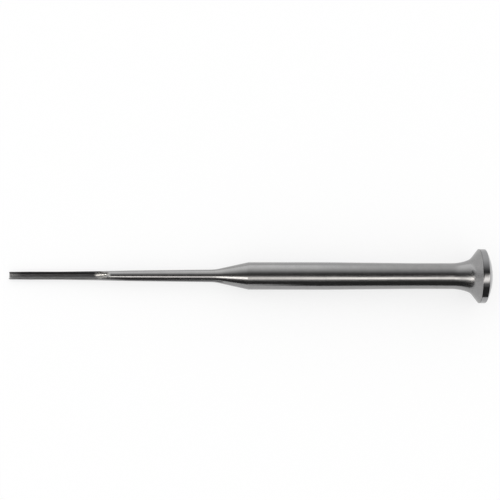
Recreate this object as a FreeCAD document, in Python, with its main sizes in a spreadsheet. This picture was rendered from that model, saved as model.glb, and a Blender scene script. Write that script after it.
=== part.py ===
import FreeCAD, Part
import os
import Sketcher

# Straight bone gouge of the common 170 mm pattern, one piece of stainless steel.
# The tool is drawn along its own axis: the cutting edge is at X 0, the struck head at the far end,
# and the trough opens upwards, to +Z. It is then laid down as it rests on a table,
# on the front edge of its head and the heel of its edge bevel.

# Driving sizes in millimetres and degrees. Runs follow each other along the tool's axis.
SIZES = (
    ("edge_width", 2.71, "blank at the cutting edge"),
    ("tip_relief", 0.08, "how far each side of the blade is ground in at the edge"),
    ("edge_run", 8.0, "ground-in stretch behind the edge"),
    ("blade_run", 10.0, "parallel stretch of the blade"),
    ("heel_run", 12.0, "blade widening towards the end of its trough"),
    ("heel_width", 3.16, "blade at the end of its trough"),
    ("root_run", 14.0, "blade widening into the shank"),
    ("shank_front_width", 3.80, "front of the shank"),
    ("shank_run", 29.7, "slowly widening shank"),
    ("shank_back_width", 4.48, "back of the shank"),
    ("neck_run", 11.7, "cone from the shank to the grip"),
    ("neck_blend", 15.0, "radius where the shank turns into the cone"),
    ("grip_width", 9.65, "front of the handle, a true cylinder"),
    ("grip_run", 26.6, "length of that cylinder"),
    ("taper_run", 31.0, "handle narrowing to its waist"),
    ("waist_width", 9.0, "waist of the handle"),
    ("waist_run", 13.0, "length of the waist"),
    ("throat_radius", 16.0, "first and wide arc of the flare"),
    ("throat_turn", 20.0, "slope where the wide arc ends"),
    ("lip_radius", 4.0, "second and tight arc of the flare"),
    ("lip_turn", 52.0, "slope of the cone under the head"),
    ("head_width", 18.8, "rim of the struck head"),
    ("head_run", 2.15, "width of the rim band"),
    ("dome_rise", 2.4, "height of the domed striking face"),
    ("rim_front_corner", 0.2, "radius between the flare and the rim"),
    ("rim_back_corner", 0.35, "radius between the rim and the dome"),
    ("side_wall", 0.24, "steel left beside the trough, at the edge"),
    ("floor_wall", 0.34, "steel left under the trough, at the edge"),
    ("wall_height", 0.3, "top of the trough's walls, above the axis"),
    ("trough_run", 29.8, "straight stretch of the trough"),
    ("wheel_radius", 10.5, "form wheel that cuts the trough and leaves its run-out"),
    ("bevel_angle", 20.0, "outside bevel of the cutting edge, from the axis"),
    ("edge_land", 0.03, "thickness left at the very edge"),
    ("edge_lean", 8.0, "how far the edge leans back towards its corners"),
)

# A full quarter turn carries the form wheel clear of the blank.
WHEEL_EXIT_ANGLE = 90.0
# Cuts start this far outside the blank.
OVERRUN = 1.0
NODE = "gouge"

# Shapes worked out from the driving sizes, as expressions of the size sheet.
EDGE_RADIUS = "(sizes.edge_width / 2)"
BLADE_RADIUS = f"({EDGE_RADIUS} + sizes.tip_relief)"
WAIST_RADIUS = "(sizes.waist_width / 2)"
HEAD_RADIUS = "(sizes.head_width / 2)"
THROAT_DEPTH = "sizes.throat_radius * sin(sizes.throat_turn)"
THROAT_END = f"({WAIST_RADIUS} + sizes.throat_radius * (1 - cos(sizes.throat_turn)))"
LIP_DEPTH = "sizes.lip_radius * (sin(sizes.lip_turn) - sin(sizes.throat_turn))"
LIP_END = f"({THROAT_END} + sizes.lip_radius * (cos(sizes.throat_turn) - cos(sizes.lip_turn)))"
CONE_DEPTH = f"({HEAD_RADIUS} - {LIP_END}) / tan(sizes.lip_turn)"

TROUGH_RADIUS = f"({EDGE_RADIUS} - sizes.side_wall)"
TROUGH_CENTRE = "(sizes.floor_wall - sizes.side_wall)"
TROUGH_FLOOR = f"({TROUGH_CENTRE} - {TROUGH_RADIUS})"
WHEEL_CENTRE = f"({TROUGH_FLOOR} + sizes.wheel_radius)"
ABOVE_BLANK = "sizes.shank_front_width"

# Stations of the profile's corners along the axis, each a sum of runs.
TO_SHANK = "(sizes.edge_run + sizes.blade_run + sizes.heel_run + sizes.root_run)"
TO_NECK = f"({TO_SHANK} + sizes.shank_run)"
TO_GRIP = f"({TO_NECK} + sizes.neck_run)"
TO_WAIST = f"({TO_GRIP} + sizes.grip_run + sizes.taper_run)"
TO_RIM = f"({TO_WAIST} + sizes.waist_run + {THROAT_DEPTH} + {LIP_DEPTH} + {CONE_DEPTH})"
TO_DOME = f"({TO_RIM} + sizes.head_run)"
LENGTH = f"({TO_DOME} + sizes.dome_rise)"
DOME_RADIUS = f"(({HEAD_RADIUS} ^ 2 + sizes.dome_rise ^ 2) / (2 * sizes.dome_rise))"

# Rounded corners of the profile. Each takes the same length from both of its neighbours.
SHANK_SLOPE = "atan((sizes.shank_back_width - sizes.shank_front_width) / 2 / sizes.shank_run)"
NECK_SLOPE = "atan((sizes.grip_width - sizes.shank_back_width) / 2 / sizes.neck_run)"
NECK_TAKES = f"(sizes.neck_blend * tan(({NECK_SLOPE} - {SHANK_SLOPE}) / 2))"
RIM_TAKES = "(sizes.rim_front_corner * tan(sizes.lip_turn / 2))"

# The tool lies on two points of its underside: the heel of the bevel and the front of the rim.
EDGE_SLOPE = "sizes.tip_relief / sizes.edge_run"
HEEL_STATION = f"((sizes.floor_wall - sizes.edge_land) / (tan(sizes.bevel_angle) - {EDGE_SLOPE}))"
HEEL_RADIUS = f"({EDGE_RADIUS} + {HEEL_STATION} * {EDGE_SLOPE})"
SEAT_STATION = f"({TO_RIM} + {RIM_TAKES})"
REST_ANGLE = f"atan(({HEAD_RADIUS} - {HEEL_RADIUS}) / ({SEAT_STATION} - {HEEL_STATION}))"


def make_sheet(doc):
    """One row for each driving size: its name, its value and what it is."""
    sheet = doc.addObject("Spreadsheet::Sheet", "sizes")
    for row, (alias, value, meaning) in enumerate(SIZES, start=1):
        sheet.set(f"A{row}", alias)
        sheet.set(f"B{row}", str(value))
        sheet.set(f"C{row}", meaning)
        sheet.setAlias(f"B{row}", alias)
    doc.recompute()
    return sheet


def origin_plane(body, role):
    """The body's own XY, XZ or YZ plane."""
    for feature in body.Origin.OriginFeatures:
        if feature.Role == role:
            return feature
    raise ValueError(f"no origin plane {role}")


class Sketch:
    """A sketch on one of the body's origin planes, with every size bound to the sheet."""

    def __init__(self, body, name, role, offset=None):
        self.sketch = body.newObject("Sketcher::SketchObject", name)
        self.sketch.AttachmentSupport = [(origin_plane(body, role), "")]
        self.sketch.MapMode = "FlatFace"
        if offset:
            self.sketch.setExpression("AttachmentOffset.Base.z", offset)

    def value(self, expression):
        """What an expression of the sheet comes to now, to draw the first shape with."""
        result = self.sketch.evalExpression(expression)
        return float(getattr(result, "Value", result))

    def point(self, across, up):
        return FreeCAD.Vector(self.value(across), self.value(up), 0)

    def bind(self, constraint, expression):
        """Adds a constraint and ties its value to the sheet."""
        index = self.sketch.addConstraint(constraint)
        self.sketch.setExpression(f"Constraints[{index}]", expression)

    def tie(self, kind, geometry, end, expression):
        """Ties a point's distance from one of the sketch's axes, on either side of it."""
        distance = self.value(expression)
        if abs(distance) < 1e-9:
            axis = -2 if kind == "DistanceX" else -1
            self.sketch.addConstraint(Sketcher.Constraint("PointOnObject", geometry, end, axis))
        elif distance > 0:
            self.bind(Sketcher.Constraint(kind, -1, 1, geometry, end, distance), expression)
        else:
            turned = Sketcher.Constraint(kind, geometry, end, -1, 1, -distance)
            self.bind(turned, f"-({expression})")

    def place(self, geometry, end, across, up):
        self.tie("DistanceX", geometry, end, across)
        self.tie("DistanceY", geometry, end, up)

    def outline(self, corners):
        """Closed outline through its corners, in order.

        Each corner is (across, up, bend). The bend of the stretch that ends there is None for a
        straight one. For an arc it is the centre's two places, 1 for left or -1 for right, and
        the one place of the centre to tie, since both ends of the arc are tied already.
        """
        previous = corners[-1]
        for corner in corners:
            start = self.point(previous[0], previous[1])
            end = self.point(corner[0], corner[1])
            if corner[2] is None:
                self.sketch.addGeometry(Part.LineSegment(start, end), False)
            else:
                self.add_arc(start, end, corner[2])
            previous = corner
        count = len(corners)
        for index, corner in enumerate(corners):
            following = (index + 1) % count
            end_here = 1 if self.turns_right(corner) else 2
            start_next = 2 if self.turns_right(corners[following]) else 1
            joint = Sketcher.Constraint("Coincident", index, end_here, following, start_next)
            self.sketch.addConstraint(joint)
            self.place(index, end_here, corner[0], corner[1])
            if corner[2] is not None:
                across, up, _, kind = corner[2]
                self.tie(kind, index, 3, across if kind == "DistanceX" else up)

    def turns_right(self, corner):
        return corner[2] is not None and corner[2][2] < 0

    def add_arc(self, start, end, bend):
        """Circles run anticlockwise, so an arc that turns right is drawn from its far end."""
        centre = self.point(bend[0], bend[1])
        first, last = (start, end) if bend[2] > 0 else (end, start)
        radius = (first - centre).Length
        east = FreeCAD.Vector(1, 0, 0)
        angles = []
        for place in (first, last):
            ray = place - centre
            angle = ray.getAngle(east)
            angles.append(angle if ray.y >= 0 else -angle)
        circle = Part.Circle(centre, FreeCAD.Vector(0, 0, 1), radius)
        self.sketch.addGeometry(Part.ArcOfCircle(circle, angles[0], angles[1]), False)

    def axis(self, height):
        """Construction line at a height, for a cut that turns about it."""
        level = self.value(height)
        ends = (FreeCAD.Vector(-OVERRUN, level, 0), FreeCAD.Vector(OVERRUN, level, 0))
        line = self.sketch.addGeometry(Part.LineSegment(*ends), True)
        self.sketch.addConstraint(Sketcher.Constraint("Horizontal", line))
        self.bind(Sketcher.Constraint("DistanceY", -1, 1, line, 1, level), height)
        left = Sketcher.Constraint("DistanceX", line, 1, -1, 1, OVERRUN)
        right = Sketcher.Constraint("DistanceX", -1, 1, line, 2, OVERRUN)
        self.sketch.addConstraint(left)
        self.sketch.addConstraint(right)


def neck_corners():
    """The blend between shank and cone: a wide arc that is tangent to both."""
    radius = "sizes.shank_back_width / 2"
    first = (f"({TO_NECK} - {NECK_TAKES} * cos({SHANK_SLOPE}))",
             f"({radius} - {NECK_TAKES} * sin({SHANK_SLOPE}))")
    last = (f"({TO_NECK} + {NECK_TAKES} * cos({NECK_SLOPE}))",
            f"({radius} + {NECK_TAKES} * sin({NECK_SLOPE}))")
    centre = (f"({first[0]} - sizes.neck_blend * sin({SHANK_SLOPE}))",
              f"({first[1]} + sizes.neck_blend * cos({SHANK_SLOPE}))")
    return (*first, None), (*last, (*centre, 1, "DistanceX"))


def flare_corners(to_throat):
    """A wide arc and a tight one, each tangent to the stretch before it."""
    to_lip = f"({to_throat} + {THROAT_DEPTH})"
    to_cone = f"({to_lip} + {LIP_DEPTH})"
    throat_centre = (to_throat, f"({WAIST_RADIUS} + sizes.throat_radius)")
    lip_centre = (f"({to_lip} - sizes.lip_radius * sin(sizes.throat_turn))",
                  f"({THROAT_END} + sizes.lip_radius * cos(sizes.throat_turn))")
    throat = (to_lip, THROAT_END, (*throat_centre, 1, "DistanceX"))
    lip = (to_cone, LIP_END, (*lip_centre, 1, "DistanceX"))
    return throat, lip


def head_corners():
    """The rim band between its two rounded corners, and the dome down to the axis."""
    front = "sizes.rim_front_corner"
    back = "sizes.rim_back_corner"
    cone_end = (f"({TO_RIM} - {RIM_TAKES} * cos(sizes.lip_turn))",
                f"({HEAD_RADIUS} - {RIM_TAKES} * sin(sizes.lip_turn))")
    front_centre = (SEAT_STATION, f"({HEAD_RADIUS} - {front})")
    dome_centre = f"({LENGTH} - {DOME_RADIUS})"
    inner_dome = f"({DOME_RADIUS} - {back})"
    back_height = f"({HEAD_RADIUS} - {back})"
    back_reach = f"sqrt({inner_dome} ^ 2 - {back_height} ^ 2)"
    back_centre = (f"({dome_centre} + {back_reach})", back_height)
    dome_start = (f"({dome_centre} + {back_reach} * {DOME_RADIUS} / {inner_dome})",
                  f"({back_height} * {DOME_RADIUS} / {inner_dome})")
    return (
        (*cone_end, None),
        (SEAT_STATION, HEAD_RADIUS, (*front_centre, -1, "DistanceX")),
        (back_centre[0], HEAD_RADIUS, None),
        (*dome_start, (*back_centre, -1, "DistanceX")),
        (LENGTH, "0", (dome_centre, "0", -1, "DistanceY")),
    )


def turned_blank(doc, body):
    """The whole tool as it leaves the lathe: blade, shank, neck, handle, flare and head."""
    profile = Sketch(body, "half_profile", "XZ_Plane")
    to_blade = "sizes.edge_run"
    to_heel = f"({to_blade} + sizes.blade_run)"
    to_root = f"({to_heel} + sizes.heel_run)"
    to_taper = f"({TO_GRIP} + sizes.grip_run)"
    to_throat = f"({TO_WAIST} + sizes.waist_run)"
    profile.outline((
        ("0", "0", None),
        ("0", EDGE_RADIUS, None),
        (to_blade, BLADE_RADIUS, None),
        (to_heel, BLADE_RADIUS, None),
        (to_root, "sizes.heel_width / 2", None),
        (TO_SHANK, "sizes.shank_front_width / 2", None),
        *neck_corners(),
        (TO_GRIP, "sizes.grip_width / 2", None),
        (to_taper, "sizes.grip_width / 2", None),
        (TO_WAIST, WAIST_RADIUS, None),
        (to_throat, WAIST_RADIUS, None),
        *flare_corners(to_throat),
        *head_corners(),
    ))
    doc.recompute()
    blank = body.newObject("PartDesign::Revolution", "turned_blank")
    blank.Profile = profile.sketch
    blank.ReferenceAxis = (profile.sketch, ["H_Axis"])
    blank.Angle = 360.0
    doc.recompute()
    return blank


def form_section(body, name, offset):
    """Section of the form wheel: a half-round rib that cuts the trough, between two shoulders
    that cut the tops of its walls level."""
    section = Sketch(body, name, "YZ_Plane", offset)
    wall_top = "sizes.wall_height"
    shoulder = ABOVE_BLANK
    trough_bottom = ("0", TROUGH_CENTRE, 1, "DistanceY")
    section.outline((
        (f"-({TROUGH_RADIUS})", TROUGH_CENTRE, None),
        (TROUGH_RADIUS, TROUGH_CENTRE, trough_bottom),
        (TROUGH_RADIUS, wall_top, None),
        (shoulder, wall_top, None),
        (shoulder, ABOVE_BLANK, None),
        (f"-({shoulder})", ABOVE_BLANK, None),
        (f"-({shoulder})", wall_top, None),
        (f"-({TROUGH_RADIUS})", wall_top, None),
    ))
    return section


def must_cut(body, before, name):
    """A cut that points away from the steel removes nothing, so its volume is compared."""
    after = body.Tip.Shape.Volume
    if not after < before - 1e-6:
        raise RuntimeError(f"{name} cuts nothing")


def trough(doc, body):
    """U-shaped trough from the edge, and the rising run-out that the form wheel leaves."""
    before = body.Tip.Shape.Volume
    straight = form_section(body, "trough_section", None)
    doc.recompute()
    cut = body.newObject("PartDesign::Pocket", "trough")
    cut.Profile = straight.sketch
    cut.Type = "Length"
    cut.setExpression("Length", "sizes.trough_run")
    cut.Reversed = True
    doc.recompute()
    must_cut(body, before, "trough")

    before = body.Tip.Shape.Volume
    rising = form_section(body, "run_out_section", "sizes.trough_run")
    rising.axis(WHEEL_CENTRE)
    doc.recompute()
    sweep = body.newObject("PartDesign::Groove", "trough_run_out")
    sweep.Profile = rising.sketch
    sweep.ReferenceAxis = (rising.sketch, ["Axis0"])
    sweep.Angle = WHEEL_EXIT_ANGLE
    sweep.Reversed = True
    doc.recompute()
    must_cut(body, before, "trough_run_out")


def leaning_edge(doc, body):
    """Grinds the end of the trough's walls back, so that the middle of the edge leads."""
    before = body.Tip.Shape.Volume
    side = Sketch(body, "edge_lean_side", "XZ_Plane")
    top = ABOVE_BLANK
    lean = f"(({top} - {TROUGH_FLOOR}) * tan(sizes.edge_lean))"
    side.outline((
        ("0", TROUGH_FLOOR, None),
        (lean, top, None),
        (str(-OVERRUN), top, None),
        (str(-OVERRUN), TROUGH_FLOOR, None),
    ))
    doc.recompute()
    cut = body.newObject("PartDesign::Pocket", "edge_lean")
    cut.Profile = side.sketch
    cut.Type = "ThroughAll"
    cut.SideType = "Symmetric"
    doc.recompute()
    must_cut(body, before, "edge_lean")


def edge_bevel(doc, body):
    """Conical bevel on the outside of the blade, coaxial with the trough's round floor."""
    before = body.Tip.Shape.Volume
    side = Sketch(body, "bevel_side", "XZ_Plane")
    inner = f"({TROUGH_CENTRE} + {TROUGH_RADIUS} + sizes.edge_land)"
    outer = f"({inner} + sizes.blade_run * tan(sizes.bevel_angle))"
    side.outline((
        ("0", inner, None),
        ("sizes.blade_run", outer, None),
        ("0", outer, None),
    ))
    side.axis(TROUGH_CENTRE)
    doc.recompute()
    cut = body.newObject("PartDesign::Groove", "edge_bevel")
    cut.Profile = side.sketch
    cut.ReferenceAxis = (side.sketch, ["Axis0"])
    cut.Angle = 360.0
    doc.recompute()
    must_cut(body, before, "edge_bevel")


def lay_down(doc, body):
    """Turns the tool head up about Y and lifts it, so that it lies on the floor at Z 0."""
    turn = f"rotation(vector(0; 1; 0); -{REST_ANGLE})"
    middle = f"-(({LENGTH} - {DOME_RADIUS}) * cos({REST_ANGLE}) + {DOME_RADIUS}) / 2"
    lift = f"{HEEL_RADIUS} * cos({REST_ANGLE}) - {HEEL_STATION} * sin({REST_ANGLE})"
    body.setExpression("Placement", f"placement(vector({middle}; 0; {lift}); {turn})")
    doc.recompute()


def make_gouge(doc):
    body = doc.addObject("PartDesign::Body", NODE)
    body.Label = NODE
    turned_blank(doc, body)
    trough(doc, body)
    leaning_edge(doc, body)
    edge_bevel(doc, body)
    lay_down(doc, body)
    return body


def check(doc, bodies):
    """Every object must have been rebuilt, and every sub-part must be one valid solid."""
    for item in doc.Objects:
        if "Invalid" in item.State or "Error" in item.State:
            raise RuntimeError(f"{item.Name}: {item.State}")
    for body in bodies:
        if body.Shape.isNull() or not body.Shape.isValid() or len(body.Shape.Solids) != 1:
            raise RuntimeError(f"{body.Label} is not one valid solid")


def main():
    doc = FreeCAD.newDocument("bone_gouge")
    make_sheet(doc)
    bodies = [make_gouge(doc)]
    check(doc, bodies)
    os.makedirs("parts", exist_ok=True)
    for body in bodies:
        body.Shape.exportStep(f"parts/{body.Label}.step")
        box = body.Shape.BoundBox
        print(body.Label, "volume", round(body.Shape.Volume, 2), "box", box)


main()
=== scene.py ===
import math

import bmesh
import bpy
from mathutils import Matrix, Vector


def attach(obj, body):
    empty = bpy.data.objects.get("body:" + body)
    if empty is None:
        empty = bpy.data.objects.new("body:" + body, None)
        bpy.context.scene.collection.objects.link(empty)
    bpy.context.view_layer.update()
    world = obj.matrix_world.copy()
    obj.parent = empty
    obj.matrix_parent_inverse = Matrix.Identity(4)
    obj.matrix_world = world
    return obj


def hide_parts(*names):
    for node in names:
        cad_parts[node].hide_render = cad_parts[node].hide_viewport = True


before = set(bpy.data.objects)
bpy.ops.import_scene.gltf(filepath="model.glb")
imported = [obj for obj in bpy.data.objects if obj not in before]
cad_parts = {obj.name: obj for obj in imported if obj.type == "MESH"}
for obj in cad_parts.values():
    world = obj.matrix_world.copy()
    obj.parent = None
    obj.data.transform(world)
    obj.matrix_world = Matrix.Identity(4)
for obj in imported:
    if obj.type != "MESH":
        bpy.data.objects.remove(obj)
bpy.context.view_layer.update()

MM = 0.001

# The tool's own sizes, in millimetres, as in the part's source. A station is a distance along the
# axis from the cutting edge, and a profile point is a station with the radius there.
EDGE_RADIUS = 1.355
BLADE_RADIUS = 1.435
BLADE_AND_SHANK = ((0, EDGE_RADIUS), (8, BLADE_RADIUS), (18, BLADE_RADIUS), (30, 1.58), (44, 1.90))
NECK_CORNER = (73.7, 2.24)
NECK_BLEND = 15.0
GRIP_FRONT = (85.4, 4.825)
GRIP_BACK = (112, 4.825)
WAIST_FRONT = (143, 4.5)
WAIST_BACK = (156, 4.5)
THROAT_RADIUS = 16.0
THROAT_TURN = math.radians(20)
LIP_RADIUS = 4.0
LIP_TURN = math.radians(52)
HEAD_RADIUS = 9.4
HEAD_RUN = 2.15
DOME_RISE = 2.4
DOME_RADIUS = (HEAD_RADIUS**2 + DOME_RISE**2) / (2 * DOME_RISE)
RIM_FRONT_CORNER = 0.2
RIM_BACK_CORNER = 0.35

# Heights in the trough's section are taken from the axis.
TROUGH_RADIUS = 1.115
TROUGH_CENTRE = 0.10
WALL_TOP = 0.30
TROUGH_RUN = 29.8
TROUGH_FLOOR = TROUGH_CENTRE - TROUGH_RADIUS
WHEEL_RADIUS = 10.5
WHEEL_CENTRE = TROUGH_FLOOR + WHEEL_RADIUS
BEVEL = math.radians(20)
EDGE_LAND = 0.03
EDGE_LEAN = math.radians(8)

# How fine the skin is: steps round half a section's outside and as many inside, steps in each bend
# of the profile and in the run-out, and millimetres between stations where the profile is straight.
AROUND = 48
NECK_STEPS = 10
FLARE_STEPS = 14
RIM_FRONT_STEPS = 8
RIM_BACK_STEPS = 10
DOME_STEPS = 24
RUN_OUT_STEPS = 44
SPACING = 1.5
CLOSE_SPACING = 0.3
# The trough's floor takes this share of the steps inside, and its upright wall takes the rest.
FLOOR_SHARE = 0.92
# The sections go on behind the bevel's heel from this station.
BEHIND_HEEL = 1.0
# The buffed finish begins this far in front of the rim's band.
BUFFED_AHEAD = 0.06
SHARP_CORNER = math.radians(10)
WELD = 1e-5
HALVINGS = 60
HEEL_ROUNDS = 20
# Limits between which a place is looked for: the wall's top in radians above the section's middle,
# and the length of the run-out.
WALL_TOP_REACH = 0.6
RUN_OUT_REACH = 9

# The finishes, in the order in which the tool takes them.
SATIN, TROUGH, RIM = range(3)


def turn(points, radius, start, end, steps):
    """Carries the profile on round an arc, from one slope to another."""
    x, r = points[-1]
    sign = 1 if end > start else -1
    for i in range(1, steps + 1):
        slope = start + (end - start) * i / steps
        points.append((
            x + sign * radius * (math.sin(slope) - math.sin(start)),
            r + sign * radius * (math.cos(start) - math.cos(slope)),
        ))


def straight(points, end, spacing=SPACING):
    """Carries the profile on to a point, with stations close enough for even shading."""
    x, r = points[-1]
    steps = max(1, math.ceil((end[0] - x) / spacing))
    for i in range(1, steps + 1):
        points.append((x + (end[0] - x) * i / steps, r + (end[1] - r) * i / steps))


def slope_between(a, b):
    return math.atan2(b[1] - a[1], b[0] - a[0])


def add_neck(points):
    """The shank and the cone, with a round blend where they meet."""
    shank_slope = slope_between(BLADE_AND_SHANK[-1], NECK_CORNER)
    cone_slope = slope_between(NECK_CORNER, GRIP_FRONT)
    takes = NECK_BLEND * math.tan((cone_slope - shank_slope) / 2)
    blend_start = (
        NECK_CORNER[0] - takes * math.cos(shank_slope),
        NECK_CORNER[1] - takes * math.sin(shank_slope),
    )
    straight(points, blend_start)
    turn(points, NECK_BLEND, shank_slope, cone_slope, NECK_STEPS)
    straight(points, GRIP_FRONT)


def add_flare(points):
    """The flare behind the waist, up to the rim's band. Returns where its cone would meet the band."""
    turn(points, THROAT_RADIUS, 0, THROAT_TURN, FLARE_STEPS)
    turn(points, LIP_RADIUS, THROAT_TURN, LIP_TURN, FLARE_STEPS)
    to_rim = points[-1][0] + (HEAD_RADIUS - points[-1][1]) / math.tan(LIP_TURN)
    takes = RIM_FRONT_CORNER * math.tan(LIP_TURN / 2)
    cone_end = (to_rim - takes * math.cos(LIP_TURN), HEAD_RADIUS - takes * math.sin(LIP_TURN))
    straight(points, cone_end, CLOSE_SPACING)
    turn(points, RIM_FRONT_CORNER, LIP_TURN, 0, RIM_FRONT_STEPS)
    return to_rim


def add_head(points, length):
    """The rim's band, its rounded back corner and the dome, down to the axis."""
    dome_centre = length - DOME_RADIUS
    inner = DOME_RADIUS - RIM_BACK_CORNER
    back_height = HEAD_RADIUS - RIM_BACK_CORNER
    back_reach = math.sqrt(inner**2 - back_height**2)
    straight(points, (dome_centre + back_reach, HEAD_RADIUS), CLOSE_SPACING)
    dome_angle = math.asin(back_height / inner)
    turn(points, RIM_BACK_CORNER, 0, dome_angle - math.pi / 2, RIM_BACK_STEPS)
    for i in range(1, DOME_STEPS + 1):
        angle = dome_angle * (1 - i / DOME_STEPS)
        points.append((dome_centre + DOME_RADIUS * math.cos(angle), DOME_RADIUS * math.sin(angle)))


def tool_profile():
    """The profile from the cutting edge to the middle of the dome, the point where the rim's band
    begins, and the tool's length."""
    points = [BLADE_AND_SHANK[0]]
    for corner in BLADE_AND_SHANK[1:]:
        straight(points, corner)
    add_neck(points)
    for corner in (GRIP_BACK, WAIST_FRONT, WAIST_BACK):
        straight(points, corner)
    to_rim = add_flare(points)
    band_start = points[-1]
    length = to_rim + HEAD_RUN + DOME_RISE
    add_head(points, length)
    return points, band_start, length


PROFILE, BAND_START, LENGTH = tool_profile()


def radius_at(x):
    """Radius of the blank at a station."""
    for (x0, r0), (x1, r1) in zip(PROFILE, PROFILE[1:]):
        if x <= x1:
            return r0 + (r1 - r0) * (x - x0) / (x1 - x0)
    return PROFILE[-1][1]


def lifted(height, x):
    """Height of a point of the trough's section at a station, once the wheel swings out."""
    run = max(0.0, x - TROUGH_RUN)
    return WHEEL_CENTRE - math.sqrt((WHEEL_CENTRE - height) ** 2 - run**2)


def solve(function, low, high):
    """The place between low and high where the function passes zero, from below."""
    for _ in range(HALVINGS):
        middle = (low + high) / 2
        if function(middle) < 0:
            low = middle
        else:
            high = middle
    return (low + high) / 2


RUN_OUT_TIP = solve(
    lambda x: lifted(TROUGH_FLOOR, x) - radius_at(x), TROUGH_RUN, TROUGH_RUN + RUN_OUT_REACH)


def arc_point(radius, angle, x):
    return x, radius * math.cos(angle), radius * math.sin(angle)


def trough_point(share, x):
    """Half of the trough's section, from its floor to the top of its wall, as sideways and height."""
    if share < FLOOR_SHARE:
        angle = share / FLOOR_SHARE * math.pi / 2
        return TROUGH_RADIUS * math.sin(angle), lifted(TROUGH_CENTRE - TROUGH_RADIUS * math.cos(angle), x)
    up = (share - FLOOR_SHARE) / (1 - FLOOR_SHARE)
    return TROUGH_RADIUS, lifted(TROUGH_CENTRE + up * (WALL_TOP - TROUGH_CENTRE), x)


def section(x):
    """Outer and inner half of the section at a station, each from the middle to the wall's top."""
    radius = radius_at(x)
    if x >= RUN_OUT_TIP:
        outer = [arc_point(radius, i / AROUND * math.pi - math.pi / 2, x) for i in range(AROUND + 1)]
        return outer, [(x, 0.0, radius)] * (AROUND + 1)
    top_y, top_z = trough_point(1.0, x)
    if math.hypot(top_y, top_z) < radius:
        share = 1.0
        corner = (math.sqrt(radius**2 - top_z**2), top_z)
    else:
        share = solve(lambda s: math.hypot(*trough_point(s, x)) - radius, 0.0, 1.0)
        corner = trough_point(share, x)
    last = math.atan2(corner[1], corner[0])
    first = -math.pi / 2
    outer = [arc_point(radius, first + (last - first) * i / AROUND, x) for i in range(AROUND + 1)]
    inner = [(x, *trough_point(share * i / AROUND, x)) for i in range(AROUND + 1)]
    return outer, inner


def heel_point(angle):
    """Where the bevel's cone leaves the outside of the blade. Each round brings the station closer."""
    x = BEHIND_HEEL / 2
    for _ in range(HEEL_ROUNDS):
        x, y, z = arc_point(radius_at(x), angle, x)
        x = (math.hypot(y, z - TROUGH_CENTRE) - TROUGH_RADIUS - EDGE_LAND) / math.tan(BEVEL)
    return arc_point(radius_at(x), angle, x)


def heel_section():
    """The bevel's heel outside, with the trough's section at the same stations inside."""
    first = -math.pi / 2
    last = solve(lambda a: heel_point(a)[2] - WALL_TOP, 0.0, WALL_TOP_REACH)
    outer = [heel_point(first + (last - first) * i / AROUND) for i in range(AROUND + 1)]
    inner = [(outer[i][0], *trough_point(i / AROUND, 0)) for i in range(AROUND + 1)]
    return outer, inner


def edge_point(angle):
    """The outside of the cutting edge's land. The bevel's radius grows with the height, because the
    plane of the edge leans."""
    lean = math.tan(EDGE_LEAN)
    spread = math.tan(BEVEL) * lean
    reach = (TROUGH_RADIUS + EDGE_LAND + spread * TROUGH_RADIUS) / (1 - spread * math.sin(angle))
    z = TROUGH_CENTRE + reach * math.sin(angle)
    return (z - TROUGH_FLOOR) * lean, reach * math.cos(angle), z


def edge_section():
    """The cutting edge: a thin land on a plane that leans back from the trough's floor."""
    first = -math.pi / 2
    last = solve(lambda a: edge_point(a)[2] - WALL_TOP, 0.0, WALL_TOP_REACH)
    outer = [edge_point(first + (last - first) * i / AROUND) for i in range(AROUND + 1)]
    inner = []
    for i in range(AROUND + 1):
        y, z = trough_point(i / AROUND, 0)
        inner.append(((z - TROUGH_FLOOR) * math.tan(EDGE_LEAN), y, z))
    return outer, inner


def stations():
    """Places of the sections behind the bevel's heel, closest together where the run-out ends."""
    places = [x for x, _ in PROFILE if BEHIND_HEEL < x < TROUGH_RUN]
    places.append(TROUGH_RUN)
    for i in range(1, RUN_OUT_STEPS + 1):
        places.append(RUN_OUT_TIP - (RUN_OUT_TIP - TROUGH_RUN) * (1 - i / RUN_OUT_STEPS) ** 2)
    places += [x for x, _ in PROFILE if x > RUN_OUT_TIP + CLOSE_SPACING]
    return places


def section_rings(mesh):
    """One ring of corners for each section, from the cutting edge to the middle of the dome."""
    rings = []
    for outer, inner in [edge_section(), heel_section()] + [section(x) for x in stations()]:
        right = outer + inner[::-1]
        left = [(x, -y, z) for x, y, z in inner[1:] + outer[:0:-1]]
        rings.append([mesh.verts.new(p) for p in right + left])
    return rings


def join_rings(mesh, rings):
    """Faces from each ring to the next. Those inside the trough have its finish."""
    count = len(rings[0])
    for ring, following in zip(rings, rings[1:]):
        for i in range(count):
            j = (i + 1) % count
            face = mesh.faces.new((ring[i], following[i], following[j], ring[j]))
            inside = AROUND < i < count - AROUND
            face.material_index = TROUGH if inside else SATIN


def close_edge(mesh, ring):
    """Faces over the cutting edge's land. The right half of the ring runs out to the wall's top and
    back inside, and the left half mirrors it."""
    count = len(ring)
    for i in range(AROUND):
        back = 2 * AROUND + 1 - i
        mesh.faces.new((ring[i], ring[i + 1], ring[back - 1], ring[back]))
        near = (count - i) % count
        far = count - i - 1
        ahead = 2 * AROUND + 1 + i
        mesh.faces.new((ring[far], ring[near], ring[ahead], ring[ahead + 1]))


def rest_place():
    """Lays the tool down on its bevel's heel and the front of its rim, in metres."""
    heel = heel_section()[0][0]
    angle = math.atan2(HEAD_RADIUS + heel[2], BAND_START[0] - heel[0])
    middle = -((LENGTH - DOME_RADIUS) * math.cos(angle) + DOME_RADIUS) / 2
    lift = -heel[2] * math.cos(angle) - heel[0] * math.sin(angle)
    place = Matrix.Translation((middle, 0, lift)) @ Matrix.Rotation(-angle, 4, "Y")
    return Matrix.Scale(MM, 4) @ place


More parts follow.
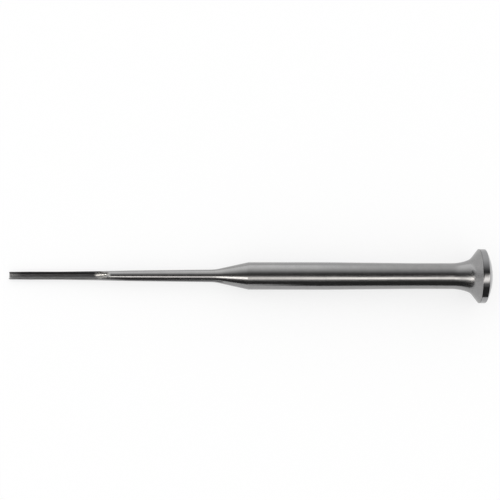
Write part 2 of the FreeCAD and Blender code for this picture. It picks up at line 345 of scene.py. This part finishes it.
def make_gouge():
    """The whole tool as one closed skin. Each corner keeps its station, which the finishes read."""
    mesh = bmesh.new()
    rings = section_rings(mesh)
    join_rings(mesh, rings)
    close_edge(mesh, rings[0])
    bmesh.ops.remove_doubles(mesh, verts=mesh.verts, dist=WELD)
    bmesh.ops.recalc_face_normals(mesh, faces=mesh.faces)
    for face in mesh.faces:
        if face.calc_center_median().x > BAND_START[0] - BUFFED_AHEAD:
            face.material_index = RIM
        face.smooth = True
    station = mesh.verts.layers.float.new("station")
    for vert in mesh.verts:
        vert[station] = vert.co.x
    bmesh.ops.transform(mesh, matrix=rest_place(), verts=mesh.verts)
    data = bpy.data.meshes.new("polished_gouge")
    mesh.to_mesh(data)
    mesh.free()
    data.set_sharp_from_angle(angle=SHARP_CORNER)
    gouge = bpy.data.objects.new("polished_gouge", data)
    bpy.context.scene.collection.objects.link(gouge)
    return gouge


def linear(hex_colour):
    """sRGB hex to the linear colour that a shader takes."""
    channels = [int(hex_colour[i : i + 2], 16) / 255 for i in (0, 2, 4)]
    return tuple(c / 12.92 if c <= 0.04045 else ((c + 0.055) / 1.055) ** 2.4 for c in channels) + (1,)


def add_node(tree, kind, inputs=None, **settings):
    """Adds a node with its settings. An input given another node's output is linked to it,
    and any other input is set to the value given."""
    node = tree.nodes.new(kind)
    for name, value in settings.items():
        setattr(node, name, value)
    for name, value in (inputs or {}).items():
        if isinstance(name, int):
            socket = node.inputs[name]
        else:
            socket = next(item for item in node.inputs if item.name == name and item.enabled)
        if isinstance(value, bpy.types.NodeSocket):
            tree.links.new(value, socket)
        else:
            socket.default_value = value
    return node


def result(node):
    """A node's first output that is in use."""
    return next(item for item in node.outputs if item.enabled)


def new_material(name):
    material = bpy.data.materials.new(name)
    material.use_nodes = True
    material.node_tree.nodes.clear()
    return material, material.node_tree


def lengthwise_lines(tree, place, length, spacing):
    """Fine lines along the tool, of a length and a spacing in millimetres."""
    drawn_out = result(add_node(tree, "ShaderNodeMapping", {
        "Vector": place, "Scale": (1 / (length * MM), 1 / (spacing * MM), 1 / (spacing * MM))}))
    return result(add_node(tree, "ShaderNodeTexNoise", {
        "Vector": drawn_out, "Scale": 1.0, "Detail": 3.0, "Roughness": 0.6}))


# The belt-polished finish. Between these stations, where the flare begins, its grain comes in while
# the belt's lines go. A line is given by its length and its distance to the next, in millimetres.
FLARE_STATIONS = (158.0, 163.0)
BELT_LINE = (9, 0.22)
BELT_LINE_BUMP = 0.05
BELT_LINE_DEPTH = 0.05 * MM
BLASTED_GRAIN = 0.35 * MM
BLASTED_BUMP = 0.25
BLASTED_DEPTH = 0.04 * MM
BLASTED_ROUGHER = 0.10
SATIN_CLOUD = 2.5 * MM


def satin_steel():
    """Martensitic stainless steel, turned and then belt-polished to satin. It mirrors the studio in
    soft bands that fine lines along the tool break up, and its flare keeps a blasted grain."""
    material, tree = new_material("belt_polished_stainless_steel")
    place = add_node(tree, "ShaderNodeTexCoord").outputs["Object"]
    station = add_node(tree, "ShaderNodeAttribute", attribute_name="station").outputs["Fac"]
    flare = result(add_node(tree, "ShaderNodeMapRange", {
        "Value": station, "From Min": FLARE_STATIONS[0], "From Max": FLARE_STATIONS[1]},
        interpolation_type="SMOOTHSTEP"))
    # Real belt lines are about 0.05 mm apart, and these are drawn coarser so that they show.
    lines = lengthwise_lines(tree, place, *BELT_LINE)
    # Real blasting grain is about 0.1 mm, and this is drawn coarser for the same reason.
    grain = result(add_node(tree, "ShaderNodeTexNoise", {
        "Vector": place, "Scale": 1 / BLASTED_GRAIN, "Detail": 2.0}))
    cloud = result(add_node(tree, "ShaderNodeTexNoise", {
        "Vector": place, "Scale": 1 / SATIN_CLOUD, "Detail": 3.0}))
    tone = result(add_node(tree, "ShaderNodeMix", {
        "Factor": cloud, "A": linear("8C8C8C"), "B": linear("9A9999")}, data_type="RGBA"))
    line_roughness = result(add_node(tree, "ShaderNodeMapRange", {
        "Value": lines, "From Min": 0.3, "From Max": 0.7, "To Min": 0.13, "To Max": 0.22}))
    roughness = result(add_node(tree, "ShaderNodeMath", {
        0: flare, 1: BLASTED_ROUGHER, 2: line_roughness}, operation="MULTIPLY_ADD"))
    line_strength = result(add_node(tree, "ShaderNodeMath", {
        0: flare, 1: -BELT_LINE_BUMP, 2: BELT_LINE_BUMP}, operation="MULTIPLY_ADD"))
    line_bump = result(add_node(tree, "ShaderNodeBump", {
        "Height": lines, "Strength": line_strength, "Distance": BELT_LINE_DEPTH}))
    grain_strength = result(add_node(tree, "ShaderNodeMath", {
        0: flare, 1: BLASTED_BUMP}, operation="MULTIPLY"))
    bump = result(add_node(tree, "ShaderNodeBump", {
        "Height": grain, "Strength": grain_strength, "Distance": BLASTED_DEPTH, "Normal": line_bump}))
    shader = result(add_node(tree, "ShaderNodeBsdfPrincipled", {
        "Base Color": tone, "Metallic": 1.0, "Roughness": roughness, "Normal": bump}))
    add_node(tree, "ShaderNodeOutputMaterial", {"Surface": shader})
    return material


# The milled finish, with places across the tool in metres, negative towards the front, and along it
# as stations.
MILLED_LINE = (5, 0.16)
MILLED_LINE_BUMP = 0.15
MILLED_LINE_DEPTH = 0.03 * MM
# Painted shade: the trough is painted dark from its middle to its far flank, and the dark fades out between
# these places across, towards the near flank.
PAINTED_SHADE_ACROSS = (-0.02 * MM, -0.28 * MM)
# Painted highlight behind the cutting edge: the trough is painted lighter from the first of these stations
# to the second, up to this share of the light colour.
EDGE_HIGHLIGHT_STATIONS = (5.0, 0.0)
EDGE_HIGHLIGHT_SHARE = 0.5
# The scoop where the wheel runs out: from the first of these stations, and across towards the far part, it
# is painted bright as a highlight, and it is also smoother and flatter.
SCOOP_STATIONS = (30.4, 31.8)
SCOOP_ACROSS = (-0.45 * MM, -0.10 * MM)
SCOOP_SMOOTHER = 0.26
SCOOP_FLATTER = 0.13


def milled_steel():
    """The same steel as the form wheel leaves it inside the trough, streaked lengthwise. Painted shade
    darkens it from its middle to its far flank, a painted highlight brightens it behind the edge,
    and a painted highlight brightens it where the wheel runs out, where it is also smoother."""
    material, tree = new_material("milled_steel_with_painted_light")
    place = add_node(tree, "ShaderNodeTexCoord").outputs["Object"]
    across = add_node(tree, "ShaderNodeSeparateXYZ", {"Vector": place}).outputs["Y"]
    station = add_node(tree, "ShaderNodeAttribute", attribute_name="station").outputs["Fac"]
    # Real milling lines are about 0.05 mm apart, and these are drawn coarser so that they show.
    lines = lengthwise_lines(tree, place, *MILLED_LINE)
    # Painted shade: nought from the middle to the far flank, where the trough is painted dark, and one on
    # the near flank.
    clear_of_painted_shade = result(add_node(tree, "ShaderNodeMapRange", {
        "Value": across, "From Min": PAINTED_SHADE_ACROSS[0], "From Max": PAINTED_SHADE_ACROSS[1]},
        interpolation_type="SMOOTHSTEP"))
    # Painted highlight: it grows from nothing at the first station to its share at the edge.
    painted_edge_highlight = result(add_node(tree, "ShaderNodeMapRange", {
        "Value": station, "From Min": EDGE_HIGHLIGHT_STATIONS[0], "From Max": EDGE_HIGHLIGHT_STATIONS[1],
        "To Max": EDGE_HIGHLIGHT_SHARE}, interpolation_type="SMOOTHSTEP"))
    run_out = result(add_node(tree, "ShaderNodeMapRange", {
        "Value": station, "From Min": SCOOP_STATIONS[0], "From Max": SCOOP_STATIONS[1]},
        interpolation_type="SMOOTHSTEP"))
    far_part = result(add_node(tree, "ShaderNodeMapRange", {
        "Value": across, "From Min": SCOOP_ACROSS[0], "From Max": SCOOP_ACROSS[1]},
        interpolation_type="SMOOTHSTEP"))
    scoop_smooth_and_painted_bright = result(add_node(tree, "ShaderNodeMath", {0: run_out, 1: far_part}, operation="MULTIPLY"))
    # The trough's colour, painted dark as shade away from the near flank.
    flanks_with_painted_shade = result(add_node(tree, "ShaderNodeMix", {
        "Factor": clear_of_painted_shade, "A": linear("4A4A4B"), "B": linear("AEAEAE")}, data_type="RGBA"))
    # The painted highlight behind the cutting edge.
    edge = result(add_node(tree, "ShaderNodeMix", {
        "Factor": painted_edge_highlight, "A": flanks_with_painted_shade, "B": linear("A8A8A8")}, data_type="RGBA"))
    # Painted highlight: the scoop is painted bright where the wheel runs out.
    tone = result(add_node(tree, "ShaderNodeMix", {
        "Factor": scoop_smooth_and_painted_bright, "A": edge, "B": linear("C6C5C2")}, data_type="RGBA"))
    line_roughness = result(add_node(tree, "ShaderNodeMapRange", {
        "Value": lines, "From Min": 0.3, "From Max": 0.7, "To Min": 0.42, "To Max": 0.58}))
    roughness = result(add_node(tree, "ShaderNodeMath", {
        0: scoop_smooth_and_painted_bright, 1: -SCOOP_SMOOTHER, 2: line_roughness}, operation="MULTIPLY_ADD"))
    line_strength = result(add_node(tree, "ShaderNodeMath", {
        0: scoop_smooth_and_painted_bright, 1: -SCOOP_FLATTER, 2: MILLED_LINE_BUMP}, operation="MULTIPLY_ADD"))
    bump = result(add_node(tree, "ShaderNodeBump", {
        "Height": lines, "Strength": line_strength, "Distance": MILLED_LINE_DEPTH}))
    shader = result(add_node(tree, "ShaderNodeBsdfPrincipled", {
        "Base Color": tone, "Metallic": 1.0, "Roughness": roughness, "Normal": bump}))
    add_node(tree, "ShaderNodeOutputMaterial", {"Surface": shader})
    return material


BUFFED_CLOUD = 1.2 * MM
# The painted shade line along the corner in front of the rim comes in from the first of these stations, and
# is full at the second.
RIM_SHADE_LINE_STATIONS = (BAND_START[0] + 0.10, BAND_START[0] - 0.02)


def buffed_steel():
    """The rim and the domed striking face, buffed nearly to a mirror, with a fine dark line of painted
    shade along the corner in front of the rim."""
    material, tree = new_material("buffed_stainless_steel")
    place = add_node(tree, "ShaderNodeTexCoord").outputs["Object"]
    station = add_node(tree, "ShaderNodeAttribute", attribute_name="station").outputs["Fac"]
    cloud = result(add_node(tree, "ShaderNodeTexNoise", {
        "Vector": place, "Scale": 1 / BUFFED_CLOUD, "Detail": 3.0}))
    # Where the painted shade line lies, along the corner in front of the rim.
    corner = result(add_node(tree, "ShaderNodeMapRange", {
        "Value": station, "From Min": RIM_SHADE_LINE_STATIONS[0], "From Max": RIM_SHADE_LINE_STATIONS[1]},
        interpolation_type="SMOOTHSTEP"))
    # Painted shade: the dark line along the corner in front of the rim.
    tone = result(add_node(tree, "ShaderNodeMix", {
        "Factor": corner, "A": linear("949495"), "B": linear("3C3C3D")}, data_type="RGBA"))
    roughness = result(add_node(tree, "ShaderNodeMapRange", {
        "Value": cloud, "From Min": 0.3, "From Max": 0.7, "To Min": 0.09, "To Max": 0.16}))
    shader = result(add_node(tree, "ShaderNodeBsdfPrincipled", {
        "Base Color": tone, "Metallic": 1.0, "Roughness": roughness}))
    add_node(tree, "ShaderNodeOutputMaterial", {"Surface": shader})
    return material


# The stage, in metres and degrees. What hangs over the tool, from straight in front of it (-90) over
# the top (0) to straight behind it (90): black flags, a dark gap and a white sheet. Each is
# (degrees, strength).
TENT = (
    (-90, 0.05), (-68, 0.05), (-58, 0.10), (-50, 0.20), (-40, 0.25), (-20, 0.15), (-8, 0.08), (2, 0.05),
    (11, 0.09), (20, 0.24), (29, 0.43), (38, 0.57), (48, 0.75), (60, 0.92), (74, 1.0), (90, 1.0),
)
TENT_RADIUS = 0.7
TENT_HALF_LENGTH = 3.0
TENT_STEPS = 36
# The tent grows stronger from the first of these places along the tool to the second.
TENT_LEFT = (0.16, -0.02)
TENT_LEFT_STRENGTH = 1.5
# The strip light under the tent, from its right end to its left, which hangs down in front: metres
# along the tool, degrees over it as above, half its width in degrees, and its strength.
STRIP = (
    (3.0, -20, 22, 2.5), (0.19, -20, 22, 2.5), (0.155, -29.5, 13, 2.6), (0.133, -30, 12.5, 3.2),
    (0.112, -31, 12, 3.7), (-0.05, -30, 17, 1.6), (-0.2, -31, 13, 2.5), (-0.4, -32.5, 14, 4.4),
    (-0.95, -38, 17, 5.6), (-1.4, -47, 22, 6.0), (-1.8, -56, 26, 6.0), (-2.85, -60, 30, 6.0),
)
STRIP_RADIUS = 0.69
STRIP_FADE = 1.5
# A black card under the tent's left end: metres along the tool, its middle and half its width.
LEFT_CARD = ((-0.6, 17, 20), (-1.0, 19, 29), (-1.8, 22, 44), (-2.88, 22, 48))
LEFT_CARD_RADIUS = 0.66
LEFT_CARD_LEVEL = 0.09
BENT_STEPS = 16
# Cards that stand upright on the paper, so that the steel mirrors dark edges and light gaps: name,
# where the foot starts and ends, height, and how light the card is at its start and at its end.
CARDS = (
    # These two low cards by the shank are painted shadow: dim sheets that stand in for the tool's own shadow
    # on the paper, as the steel mirrors it.
    ("painted_shadow_card_shank", (-0.044, -0.0075), (-0.011, -0.0095), 0.005, (0.12, 0.3)),
    ("painted_shadow_card_shank_end", (-0.056, -0.0075), (-0.044, -0.0075), 0.005, (1.0, 0.12)),
    ("black_flag_front", (-1, -0.12), (1, -0.12), 0.09, (0.05, 0.05)),
    ("low_flag_right", (0.02, -0.042), (0.2, -0.042), 0.012, (0.05, 0.05)),
    ("low_flag_end", (-0.005, -0.042), (0.02, -0.042), 0.012, (1.0, 0.05)),
    ("dark_flag_left", (-2.9, 0), (-2.9, 0.95), 0.7, (0.12, 0.12)),
)
FLOOR_HALF = 6.0
PAPER_TONE = 0.34
PAPER_LIGHT = 0.675
ROOM_LIGHT = 0.95
WHITE = (1, 1, 1, 1)


def tent_light():
    """The tent's own light, set by the angle over the tool, and stronger towards its left."""
    material, tree = new_material("light_tent")
    place = add_node(tree, "ShaderNodeTexCoord").outputs["Object"]
    sides = add_node(tree, "ShaderNodeSeparateXYZ", {"Vector": place})
    angle = result(add_node(tree, "ShaderNodeMath", {
        0: sides.outputs["Y"], 1: sides.outputs["Z"]}, operation="ARCTAN2"))
    share = result(add_node(tree, "ShaderNodeMapRange", {
        "Value": angle, "From Min": -math.pi / 2, "From Max": math.pi / 2}))
    ramp = add_node(tree, "ShaderNodeValToRGB", {"Fac": share})
    stops = ramp.color_ramp.elements
    while len(stops) < len(TENT):
        stops.new(1.0)
    for stop, (degrees, strength) in zip(stops, TENT):
        stop.position = (degrees + 90) / 180
        stop.color = (strength, strength, strength, 1)
    left = result(add_node(tree, "ShaderNodeMapRange", {
        "Value": sides.outputs["X"], "From Min": TENT_LEFT[0], "From Max": TENT_LEFT[1],
        "To Min": 1.0, "To Max": TENT_LEFT_STRENGTH}, interpolation_type="SMOOTHSTEP"))
    light = result(add_node(tree, "ShaderNodeEmission", {
        "Color": ramp.outputs["Color"], "Strength": left}))
    add_node(tree, "ShaderNodeOutputMaterial", {"Surface": light})
    return material


def strip_glow():
    """A light with no frame: where it gives less, what is behind it shows through."""
    material, tree = new_material("strip_light")
    level = add_node(tree, "ShaderNodeAttribute", attribute_name="level").outputs["Fac"]
    light = result(add_node(tree, "ShaderNodeEmission", {"Color": linear("FFFBF6"), "Strength": level}))
    clear = result(add_node(tree, "ShaderNodeBsdfTransparent"))
    both = result(add_node(tree, "ShaderNodeAddShader", {0: light, 1: clear}))
    add_node(tree, "ShaderNodeOutputMaterial", {"Surface": both})
    return material


def card_glow(name):
    """A card that only the steel sees, as light as its level says at each corner."""
    material, tree = new_material(name)
    level = add_node(tree, "ShaderNodeAttribute", attribute_name="level").outputs["Fac"]
    light = result(add_node(tree, "ShaderNodeEmission", {"Color": WHITE, "Strength": level}))
    add_node(tree, "ShaderNodeOutputMaterial", {"Surface": light})
    return material


def white_paper():
    """White table paper. Part of its white is plain light that only the picture and the steel see,
    so the tool's shadow on it stays soft."""
    material, tree = new_material("white_paper")
    lit = result(add_node(tree, "ShaderNodeBsdfDiffuse", {"Color": (PAPER_TONE, PAPER_TONE, PAPER_TONE, 1)}))
    ray = add_node(tree, "ShaderNodeLightPath")
    direct = result(add_node(tree, "ShaderNodeMath", {
        0: ray.outputs["Is Camera Ray"], 1: ray.outputs["Is Glossy Ray"]}, operation="MAXIMUM"))
    seen = result(add_node(tree, "ShaderNodeMath", {
        0: direct, 1: ray.outputs["Is Transmission Ray"]}, operation="MAXIMUM"))
    strength = result(add_node(tree, "ShaderNodeMath", {0: seen, 1: PAPER_LIGHT}, operation="MULTIPLY"))
    glow = result(add_node(tree, "ShaderNodeEmission", {"Color": WHITE, "Strength": strength}))
    paper = result(add_node(tree, "ShaderNodeAddShader", {0: lit, 1: glow}))
    add_node(tree, "ShaderNodeOutputMaterial", {"Surface": paper})
    return material


def stage_sheet(name, points, faces, material, levels=()):
    """A sheet of the stage. Its levels, where it has any, say how light it is at each corner."""
    mesh = bpy.data.meshes.new(name)
    mesh.from_pydata(points, [], faces)
    if levels:
        mesh.attributes.new("level", "FLOAT", "POINT").data.foreach_set("value", levels)
    mesh.materials.append(material)
    piece = bpy.data.objects.new(name, mesh)
    bpy.context.scene.collection.objects.link(piece)
    return piece


def only_reflected(piece):
    """It shows in the steel, but not to the camera, and neither lights nor shades the paper."""
    piece.visible_camera = False
    piece.visible_diffuse = False
    piece.visible_shadow = False
    piece.visible_transmission = False


def make_floor():
    reach = FLOOR_HALF
    corners = [(-reach, -reach, 0), (reach, -reach, 0), (reach, reach, 0), (-reach, reach, 0)]
    stage_sheet("floor", corners, [(0, 1, 2, 3)], white_paper())


def make_light_tent():
    """Half a tube over the tool, open at both ends."""
    points = []
    for i in range(TENT_STEPS + 1):
        angle = math.pi * (i / TENT_STEPS - 0.5)
        y = TENT_RADIUS * math.sin(angle)
        z = TENT_RADIUS * math.cos(angle)
        points += [(-TENT_HALF_LENGTH, y, z), (TENT_HALF_LENGTH, y, z)]
    faces = [(2 * i, 2 * i + 1, 2 * i + 3, 2 * i + 2) for i in range(TENT_STEPS)]
    only_reflected(stage_sheet("light_tent", points, faces, tent_light()))


def bent_sheet(rows, radius):
    """Points and faces of a sheet bent round the tool, from its middle and half width at each row."""
    points = []
    for x, degrees, half_width in rows:
        for i in range(BENT_STEPS + 1):
            angle = math.radians(degrees + (2 * i / BENT_STEPS - 1) * half_width)
            points.append((x, radius * math.sin(angle), radius * math.cos(angle)))
    across = BENT_STEPS + 1
    faces = []
    for j in range(len(rows) - 1):
        for i in range(BENT_STEPS):
            a = j * across + i
            faces.append((a, a + 1, a + 1 + across, a + across))
    return points, faces


def make_strip_light():
    """It is brightest along its middle and fades to both sides."""
    points, faces = bent_sheet([row[:3] for row in STRIP], STRIP_RADIUS)
    levels = []
    for _, _, _, strength in STRIP:
        for i in range(BENT_STEPS + 1):
            levels.append(strength * (1 - (2 * i / BENT_STEPS - 1) ** 2) ** STRIP_FADE)
    only_reflected(stage_sheet("strip_light", points, faces, strip_glow(), levels))


def make_left_card():
    points, faces = bent_sheet(LEFT_CARD, LEFT_CARD_RADIUS)
    name = "black_card_left"
    only_reflected(stage_sheet(name, points, faces, card_glow(name), [LEFT_CARD_LEVEL] * len(points)))


def make_upright_cards():
    for name, start, end, height, (start_level, end_level) in CARDS:
        corners = [(*start, 0), (*end, 0), (*end, height), (*start, height)]
        levels = [start_level, end_level, end_level, start_level]
        only_reflected(stage_sheet(name, corners, [(0, 1, 2, 3)], card_glow(name), levels))


def light_room():
    """Even white light from all round, at a level that shows a colour about as it is written."""
    world = bpy.data.worlds.new("white_room")
    bpy.context.scene.world = world
    world.use_nodes = True
    world.node_tree.nodes.clear()
    light = result(add_node(world.node_tree, "ShaderNodeBackground", {
        "Color": WHITE, "Strength": ROOM_LIGHT}))
    add_node(world.node_tree, "ShaderNodeOutputWorld", {"Surface": light})


# The photograph's view: steeply down on the tool, which lies across the picture, from a third of a metre.
CAMERA_ELEVATION = math.radians(77)
CAMERA_TURN = math.radians(0.62)
CAMERA_DISTANCE = 328.7 * MM
CAMERA_LENS = 67.4
CAMERA_SENSOR = 36
CAMERA_NEAREST = 0.01
CAMERA_FARTHEST = 20
AIM = Vector((1.03, 0, 5.5)) * MM
# The tool lies this far below the middle of the picture.
AIM_ABOVE_TOOL = 9.1 * MM


def make_camera():
    rise = math.sin(CAMERA_ELEVATION)
    level = math.cos(CAMERA_ELEVATION)
    side = math.sin(CAMERA_TURN)
    ahead = math.cos(CAMERA_TURN)
    up = Vector((-side * rise, ahead * rise, level))
    back = Vector((side * level, -ahead * level, rise))
    right = up.cross(back)
    data = bpy.data.cameras.new("camera")
    data.sensor_width = CAMERA_SENSOR
    data.lens = CAMERA_LENS
    data.clip_start = CAMERA_NEAREST
    data.clip_end = CAMERA_FARTHEST
    camera = bpy.data.objects.new("camera", data)
    bpy.context.scene.collection.objects.link(camera)
    turned = Matrix((right, up, back)).transposed().to_4x4()
    camera.matrix_world = Matrix.Translation(AIM + up * AIM_ABOVE_TOOL + back * CAMERA_DISTANCE) @ turned
    bpy.context.scene.camera = camera


gouge = make_gouge()
for finish in (satin_steel(), milled_steel(), buffed_steel()):
    gouge.data.materials.append(finish)
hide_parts("gouge")
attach(gouge, "root")

make_floor()
make_light_tent()
make_strip_light()
make_left_card()
make_upright_cards()
light_room()
make_camera()
bpy.context.scene.view_settings.view_transform = "Standard"
